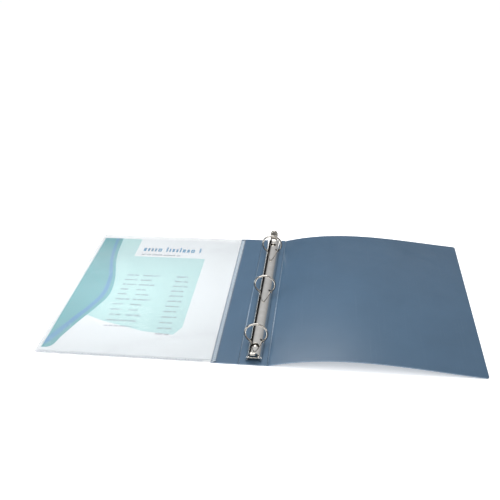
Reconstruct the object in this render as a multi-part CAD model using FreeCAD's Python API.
import FreeCAD, Part
import math
import os

# Letter-size poly ring binder, lying open on its outer faces.
# X runs across the spine, Y towards the top edge, Z up from the outer face.
# Everything is in millimetres; the origin is the middle of the spine's outer face.

V = FreeCAD.Vector
x_axis, y_axis, z_axis = V(1, 0, 0), V(0, 1, 0), V(0, 0, 1)
origin = V(0, 0, 0)

# the sheets that the binder is made for
paper_width = 215.9
paper_height = 279.4
paper_thickness = 0.11
paper_side_clearance = 1.05
paper_foot_clearance = 0.8
paper_head_room = 10.8         # above the paper, where the pocket is open

# cover set: one poly sheet with two scored hinges
spine_width = 35.0             # hinge line to hinge line
sheet_thickness = 0.9
corner_radius = 3.5
score_half_width = 1.0         # thinned hinge, each side of the hinge line
score_thickness = 0.4
arch_first_handle = 24.8       # rise of the back cover's bow, near the spine
arch_second_handle = 7.5       # and near the fore edge
arch_headroom = 5.0

# front cover: poly strip, then a clear pocket
strip_width = 33.5             # hinge line to the end of the welded tongue
weld_width = 6.5
tongue_thickness = 0.55
film_thickness = 0.2
clear_sheet_thickness = 0.5
pocket_border = 4.0

# ring mechanism
ring_pitch = 107.95            # standard three-hole spacing
ring_inner_diameter = 25.4
wire_diameter = 2.6
ring_low_height = 3.0          # lowest point of the ring's centre line
ring_tip_gap = 0.1
tip_tongue_diameter = 1.1
tip_tongue_length = 0.9
tip_clearance = 0.15
stud_offset = 5.6              # ring stud from the centre line
stud_diameter = 2.0
stud_head_diameter = 2.6
stud_head_height = 0.4

housing_end_margin = 6.0       # from the cover's edge to the housing's end
housing_width = 19.4
housing_low = 2.6
housing_crown = 9.4
housing_thickness = 0.7
lip_length = 2.3
ring_slot_inner = 4.8
ring_slot_clearance = 0.45
ring_slot_floor_gap = 0.15
lever_notch_depth = 5.5        # from the housing's end
lever_notch_half_width = 6.6

rail_thickness = 0.9
rail_end_gap = 3.6             # from the rail's end to the lever's pivot
rail_pivot_height = 4.2
rail_edge_clearance = 0.12
rail_centre_gap = 0.4
rail_swing = 10.0              # degrees below level when the rings are shut

rivet_inset = 21.5             # from the housing's end
rivet_shank_diameter = 3.2
rivet_fit_clearance = 0.1
rivet_head_diameter = 8.0
rivet_head_thickness = 0.5
rivet_recess_clearance = 0.3
rivet_eye_diameter = 3.0
rivet_eye_depth = 0.35
rivet_dome_diameter = 5.6
rivet_dome_height = 1.4
post_diameter = 5.0
post_rail_clearance = 0.5
saddle_height = 6.6            # top of the post, underside of the pressed saddle
saddle_half_width = 3.4
window_radius = 5.2
window_shift = 1.6             # window's round end, outwards from the rivet
window_depth = 3.4             # straight edge, outwards from the rivet

lever_pivot_inset = 3.5        # from the housing's end
lever_pivot_height = 4.4
lever_hub_radius = 1.5
lever_hub_clearance = 0.25
lever_pin_diameter = 1.6
lever_pin_clearance = 0.05
lever_plate = 1.2
lever_tab_angle = 58.0
lever_tab_length = 17.0
lever_tab_width = 11.0
lever_tongue_reach = 5.4
lever_tongue_half_width = 1.6
lever_tongue_thickness = 0.75
lever_rail_clearance = 0.3
lever_finger_reach = 4.2
lever_finger_clearance = 1.75
lever_web_half_width = 5.0
lever_curl_radius = 1.0

# worked out from the sizes above
cover_width = strip_width + paper_width + 2 * paper_side_clearance + pocket_border
cover_height = pocket_border + paper_foot_clearance + paper_height + paper_head_room
half_height = cover_height / 2
half_spine = spine_width / 2
housing_length = cover_height - 2 * housing_end_margin
housing_end = housing_length / 2
rivet_distance = housing_end - rivet_inset
window_end = rivet_distance + window_depth
window_centre = rivet_distance + window_shift
lever_notch_start = housing_end - lever_notch_depth
lever_pivot_distance = housing_end - lever_pivot_inset
rail_length = 2 * (lever_pivot_distance - rail_end_gap)
fore_edge = half_spine + cover_width
strip_end = half_spine + strip_width
tongue_start = strip_end - weld_width
ring_radius = (ring_inner_diameter + wire_diameter) / 2
wire_radius = wire_diameter / 2
ring_centre = ring_low_height + ring_radius
crown_rise = housing_crown - housing_low
outer_radius = ((housing_width / 2) ** 2 + crown_rise ** 2) / (2 * crown_rise)
inner_radius = outer_radius - housing_thickness
arc_centre = housing_crown - outer_radius
pivot_circle = inner_radius - rail_thickness / 2 - rail_edge_clearance
rail_pivot = math.sqrt(pivot_circle ** 2 - (rail_pivot_height - arc_centre) ** 2)
rail_reach = rail_pivot - rail_centre_gap / 2
ring_rows = {"top": ring_pitch, "middle": 0.0, "bottom": -ring_pitch}
ends = {"top": 1, "bottom": -1}


def box(x0, x1, y0, y1, z0, z1):
    """A box between two corners, given in any order."""
    low = V(min(x0, x1), min(y0, y1), min(z0, z1))
    return Part.makeBox(abs(x1 - x0), abs(y1 - y0), abs(z1 - z0), low)


def cylinder(diameter, height, base, direction=z_axis):
    return Part.makeCylinder(diameter / 2, height, base, direction)


def prism(edges, push):
    """A solid from closed edges, pushed along a vector."""
    return Part.Face(Part.Wire(edges)).extrude(push)


def line(a, b):
    return Part.LineSegment(a, b).toShape()


def arc(a, mid, b):
    return Part.Arc(a, mid, b).toShape()


def polygon_prism(points, push):
    corners = list(points) + [points[0]]
    return Part.Face(Part.makePolygon(corners)).extrude(push)


def mirrored(shape, side):
    """The shape itself for side 1, its mirror image across the YZ plane for -1."""
    return shape if side > 0 else shape.mirror(origin, x_axis)


def end_copy(shape, end):
    """The shape itself for the top end, its mirror image for the bottom end."""
    return shape if end > 0 else shape.mirror(origin, y_axis)


def round_fore_corners(shape, side, top):
    """Trim a cover piece to the rounded corners at its fore edge."""
    outline = box(0, side * fore_edge, -half_height, half_height, -1, top)
    edges = [e for e in outline.Edges if is_fore_upright(e, side)]
    return shape.common(outline.makeFillet(corner_radius, edges))


def is_fore_upright(edge, side):
    middle = edge.BoundBox.Center
    return edge.BoundBox.ZLength > 1 and abs(middle.x - side * fore_edge) < 0.1


# ---- cover set ----

def spine_panel():
    edge = half_spine - score_half_width
    panel = box(-edge, edge, -half_height, half_height, 0, sheet_thickness)
    for end in ends.values():
        seat = V(0, end * rivet_distance, 0)
        recess = rivet_head_diameter + 2 * rivet_recess_clearance
        panel = panel.cut(cylinder(recess, rivet_head_thickness, seat))
        panel = panel.cut(cylinder(rivet_hole(), sheet_thickness, seat))
    return panel


def hinge_web(side):
    near = side * (half_spine - score_half_width)
    far = side * (half_spine + score_half_width)
    return box(near, far, -half_height, half_height, 0, score_thickness)


def front_cover_strip():
    start = -(half_spine + score_half_width)
    strip = box(start, -tongue_start, -half_height, half_height, 0, sheet_thickness)
    tongue = box(-tongue_start, -strip_end, -half_height, half_height, 0, tongue_thickness)
    return strip.fuse(tongue).removeSplitter()


def pocket_outer_film():
    film = box(-strip_end, -fore_edge, -half_height, half_height, 0, film_thickness)
    return round_fore_corners(film, -1, film_thickness + 1)


def pocket_inner_sheet():
    top = tongue_thickness + clear_sheet_thickness
    sheet = box(-tongue_start, -fore_edge, -half_height, half_height, tongue_thickness, top)
    rim = box(-strip_end, -fore_edge, -half_height, half_height, film_thickness, tongue_thickness)
    room = box(-strip_end, -(fore_edge - pocket_border), -(half_height - pocket_border),
               half_height, film_thickness, tongue_thickness)
    return round_fore_corners(sheet.fuse(rim.cut(room)).removeSplitter(), -1, top + 1)


def paper_insert(layer):
    """One of two sheets that share the pocket, layer 0 outermost."""
    room = tongue_thickness - film_thickness
    gap = (room - 2 * paper_thickness) / 3
    base = film_thickness + gap + layer * (paper_thickness + gap)
    start = -(strip_end + paper_side_clearance)
    foot = -(half_height - pocket_border - paper_foot_clearance)
    return box(start, start - paper_width, foot, foot + paper_height, base, base + paper_thickness)


def back_cover_panel():
    start = half_spine + score_half_width
    third = (fore_edge - start) / 3
    poles = [(start, 0), (start + third, arch_first_handle),
             (fore_edge - third, arch_second_handle), (fore_edge, 0)]
    edges = []
    for lift in (0, sheet_thickness):
        curve = Part.BezierCurve()
        curve.setPoles([V(x, -half_height, z + lift) for x, z in poles])
        edges.append(curve.toShape())
    for x in (start, fore_edge):
        edges.append(line(V(x, -half_height, 0), V(x, -half_height, sheet_thickness)))
    ordered = Part.__sortEdges__(edges)
    panel = prism(ordered, V(0, cover_height, 0))
    return round_fore_corners(panel, 1, arch_first_handle + arch_headroom)


# ---- ring housing ----

def rivet_hole():
    return rivet_shank_diameter + 2 * rivet_fit_clearance


def inner_half_width(height):
    """Half the clear width inside the housing's arch at a height."""
    return math.sqrt(inner_radius ** 2 - (height - arc_centre) ** 2)


def housing_channel():
    y = -housing_length / 2
    wide = housing_width / 2
    lip_top = housing_low + housing_thickness
    inner = inner_half_width(lip_top)
    lip = wide - lip_length
    crown_in = housing_crown - housing_thickness
    edges = [
        arc(V(-wide, y, housing_low), V(0, y, housing_crown), V(wide, y, housing_low)),
        line(V(wide, y, housing_low), V(lip, y, housing_low)),
        line(V(lip, y, housing_low), V(lip, y, lip_top)),
        line(V(lip, y, lip_top), V(inner, y, lip_top)),
        arc(V(inner, y, lip_top), V(0, y, crown_in), V(-inner, y, lip_top)),
        line(V(-inner, y, lip_top), V(-lip, y, lip_top)),
        line(V(-lip, y, lip_top), V(-lip, y, housing_low)),
        line(V(-lip, y, housing_low), V(-wide, y, housing_low)),
    ]
    return prism(edges, V(0, housing_length, 0))


def rivet_saddle():
    """Pressed-down tab at the top end that the rivet clamps to the post."""
    top = saddle_height + housing_thickness
    tab = cylinder(2 * saddle_half_width, housing_thickness, V(0, rivet_distance, saddle_height))
    run = box(-saddle_half_width, saddle_half_width, rivet_distance,
              window_end + housing_thickness, saddle_height, top)
    riser_top = housing_crown - housing_thickness
    riser = box(-saddle_half_width, saddle_half_width, window_end,
                window_end + housing_thickness, saddle_height, riser_top)
    saddle = tab.fuse([run, riser])
    return saddle.cut(cylinder(rivet_hole(), housing_thickness, V(0, rivet_distance, saddle_height)))


def rivet_window():
    """Arched opening in the crown above the saddle at the top end."""
    hole = cylinder(2 * window_radius, housing_crown, V(0, window_centre, saddle_height))
    keep = box(-window_radius, window_radius, window_centre - window_radius, window_end,
               saddle_height, saddle_height + housing_crown)
    return hole.common(keep)


def ring_housing():
    housing = housing_channel()
    slot_half = wire_radius + ring_slot_clearance
    slot_floor = housing_low + housing_thickness + ring_slot_floor_gap
    cuts = []
    for row in ring_rows.values():
        for side in (-1, 1):
            cuts.append(box(side * ring_slot_inner, side * housing_width,
                            row - slot_half, row + slot_half, slot_floor, housing_crown))
    for end in ends.values():
        cuts.append(end_copy(rivet_window(), end))
        cuts.append(box(-lever_notch_half_width, lever_notch_half_width,
                        end * lever_notch_start, end * housing_length, 0, 2 * housing_crown))
        pin_hole = lever_pin_diameter + 2 * lever_pin_clearance
        cuts.append(cylinder(pin_hole, 2 * housing_width,
                             V(-housing_width, end * lever_pivot_distance, lever_pivot_height), x_axis))
    housing = housing.cut(cuts)
    saddles = [end_copy(rivet_saddle(), end) for end in ends.values()]
    return housing.fuse(saddles).removeSplitter()


# ---- rails and rings ----

def tilt_to_shut(shape):
    """Swing a level left-hand piece down about the left rail's edge."""
    turned = shape.copy()
    turned.rotate(V(-rail_pivot, 0, rail_pivot_height), y_axis, rail_swing)
    return turned


def rail_block(top, bottom):
    """Level left-hand slab over the rail's width, between two heights."""
    return box(-rail_pivot, -rail_pivot + rail_reach, -rail_length / 2, rail_length / 2, bottom, top)


def stud_axis_x():
    """Where the stud stands on the level rail, so that it is stud_offset out when shut."""
    reach = (rail_pivot - stud_offset) / math.cos(math.radians(rail_swing))
    return -rail_pivot + reach


def left_rail():
    half = rail_thickness / 2
    rail = rail_block(rail_pivot_height + half, rail_pivot_height - half)
    edge = cylinder(rail_thickness, rail_length, V(-rail_pivot, -rail_length / 2, rail_pivot_height), y_axis)
    rail = rail.fuse(edge).removeSplitter()
    for row in ring_rows.values():
        rail = rail.cut(cylinder(stud_diameter, 2 * rail_thickness,
                                 V(stud_axis_x(), row, rail_pivot_height - rail_thickness)))
    rail = tilt_to_shut(rail)
    notch = post_diameter + 2 * post_rail_clearance
    for end in ends.values():
        rail = rail.cut(cylinder(notch, housing_crown, V(0, end * rivet_distance, 0)))
    return rail


def left_ring(row):
    """Left half of a ring: wire, a stud riveted through the rail, no tip detail."""
    lean = math.asin(stud_offset / ring_radius)
    start = V(-ring_radius * math.sin(lean), row, ring_centre - ring_radius * math.cos(lean))
    along = V(-math.cos(lean), 0, math.sin(lean))
    face = Part.Face(Part.Wire(Part.makeCircle(wire_radius, start, along)))
    tip_angle = math.asin(ring_tip_gap / 2 / ring_radius)
    sweep = math.degrees(math.pi - lean - tip_angle)
    wire = face.revolve(V(0, row, ring_centre), y_axis, sweep)
    half = rail_thickness / 2
    plate_top = rail_pivot_height + half
    under = tilt_to_shut(rail_block(plate_top, plate_top - 2 * wire_diameter))
    edge = cylinder(rail_thickness, rail_length, V(-rail_pivot, -rail_length / 2, rail_pivot_height), y_axis)
    wire = wire.cut(under).cut(edge)
    stud = cylinder(stud_diameter, rail_thickness + wire_radius,
                    V(stud_axis_x(), row, rail_pivot_height - half))
    head = cylinder(stud_head_diameter, stud_head_height,
                    V(stud_axis_x(), row, rail_pivot_height - half - stud_head_height))
    return wire.fuse(tilt_to_shut(stud.fuse(head))).removeSplitter()


def tip_tongue(row, extra):
    """The small peg on the left tip, or its socket when extra is a clearance."""
    top = ring_centre + ring_radius
    root = V(-wire_radius, row, top)
    reach = wire_radius + ring_tip_gap / 2 + tip_tongue_length + extra
    return cylinder(tip_tongue_diameter + 2 * extra, reach, root, x_axis)


def ring_half(row, side):
    if side < 0:
        return left_ring(row).fuse(tip_tongue(row, 0)).removeSplitter()
    return mirrored(left_ring(row), -1).cut(tip_tongue(row, tip_clearance))


# ---- rivets, posts and levers ----

def rivet():
    """Eyelet rivet at the top end, outer head flush with the spine's outer face."""
    seat = V(0, rivet_distance, 0)
    head = cylinder(rivet_head_diameter, rivet_head_thickness, seat)
    crown_seat = saddle_height + housing_thickness
    shank = cylinder(rivet_shank_diameter, crown_seat - rivet_head_thickness,
                     V(0, rivet_distance, rivet_head_thickness))
    half = rivet_dome_diameter / 2
    ball = (half ** 2 + rivet_dome_height ** 2) / (2 * rivet_dome_height)
    dome = Part.makeSphere(ball, V(0, rivet_distance, crown_seat + rivet_dome_height - ball))
    dome = dome.common(cylinder(rivet_dome_diameter, rivet_dome_height, V(0, rivet_distance, crown_seat)))
    eye = cylinder(rivet_eye_diameter, rivet_eye_depth, seat)
    return head.fuse([shank, dome]).removeSplitter().cut(eye)


def rivet_post():
    base = V(0, rivet_distance, sheet_thickness)
    height = saddle_height - sheet_thickness
    return cylinder(post_diameter, height, base).cut(cylinder(rivet_hole(), height, base))


def rail_inner_edge(face):
    """Height of the shut rail's inner edge: face 1 is its top, -1 its underside."""
    tilt = math.radians(rail_swing)
    middle = rail_pivot_height - rail_reach * math.sin(tilt)
    return middle + face * rail_thickness / 2 / math.cos(tilt)


def lever_bar(half_width, y0, y1, z0, z1):
    return box(-half_width, half_width, lever_pivot_distance + y0, lever_pivot_distance + y1, z0, z1)


def lever_tab():
    """Thumb tab in its own plane, stood up to its angle at the pivot."""
    half = lever_tab_width / 2
    straight = lever_tab_length - half
    flat = box(-half, half, 0, straight, -lever_plate / 2, lever_plate / 2)
    nose = cylinder(lever_tab_width, lever_plate, V(0, straight, -lever_plate / 2))
    roll = lever_curl_radius + lever_plate / 2
    curl = cylinder(2 * roll, half, V(-half / 2, lever_tab_length - roll, -lever_curl_radius), x_axis)
    tab = flat.fuse([nose, curl])
    tab.rotate(origin, x_axis, lever_tab_angle)
    tab.translate(V(0, lever_pivot_distance, lever_pivot_height))
    return tab


def lever():
    """Opening lever at the top end."""
    hub_half = inner_half_width(lever_pivot_height + lever_hub_radius) - lever_hub_clearance
    pivot = V(-hub_half, lever_pivot_distance, lever_pivot_height)
    hub = cylinder(2 * lever_hub_radius, 2 * hub_half, pivot, x_axis)
    pin_half = math.sqrt(outer_radius ** 2 - (lever_pivot_height - arc_centre) ** 2)
    pin = cylinder(lever_pin_diameter, 2 * pin_half,
                   V(-pin_half, lever_pivot_distance, lever_pivot_height), x_axis)
    tongue_top = rail_inner_edge(-1) - lever_rail_clearance
    tongue_low = tongue_top - lever_tongue_thickness
    finger_low = rail_inner_edge(1) + lever_finger_clearance
    half = lever_plate / 2
    tongue = lever_bar(lever_tongue_half_width, -lever_tongue_reach, 0, tongue_low, tongue_top)
    finger = lever_bar(lever_tongue_half_width, -lever_finger_reach, 0,
                       finger_low, finger_low + lever_tongue_thickness)
    web = lever_bar(lever_web_half_width, -half, half, tongue_low, finger_low + lever_tongue_thickness)
    return hub.fuse([pin, tongue, finger, web, lever_tab()]).removeSplitter()


def build_nodes():
    nodes = {
        "spine_panel": spine_panel(),
        "front_hinge_web": hinge_web(-1),
        "back_hinge_web": hinge_web(1),
        "front_cover_strip": front_cover_strip(),
        "pocket_outer_film": pocket_outer_film(),
        "pocket_inner_sheet": pocket_inner_sheet(),
        "title_insert": paper_insert(0),
        "list_insert": paper_insert(1),
        "back_cover_panel": back_cover_panel(),
        "ring_housing": ring_housing(),
        "rail_left": left_rail(),
        "rail_right": mirrored(left_rail(), -1),
    }
    for row_name, row in ring_rows.items():
        nodes["ring_" + row_name + "_left"] = ring_half(row, -1)
        nodes["ring_" + row_name + "_right"] = ring_half(row, 1)
    for end_name, end in ends.items():
        nodes["rivet_" + end_name] = end_copy(rivet(), end)
        nodes["rivet_post_" + end_name] = end_copy(rivet_post(), end)
        nodes["lever_" + end_name] = end_copy(lever(), end)
    return nodes


os.makedirs("parts", exist_ok=True)
for name, shape in build_nodes().items():
    shape.exportStep("parts/" + name + ".step")
    print(name, len(shape.Solids), round(shape.Volume, 2), shape.isValid())
print("rail pivot", round(rail_pivot, 3), rail_pivot_height, "ring centre", ring_centre)
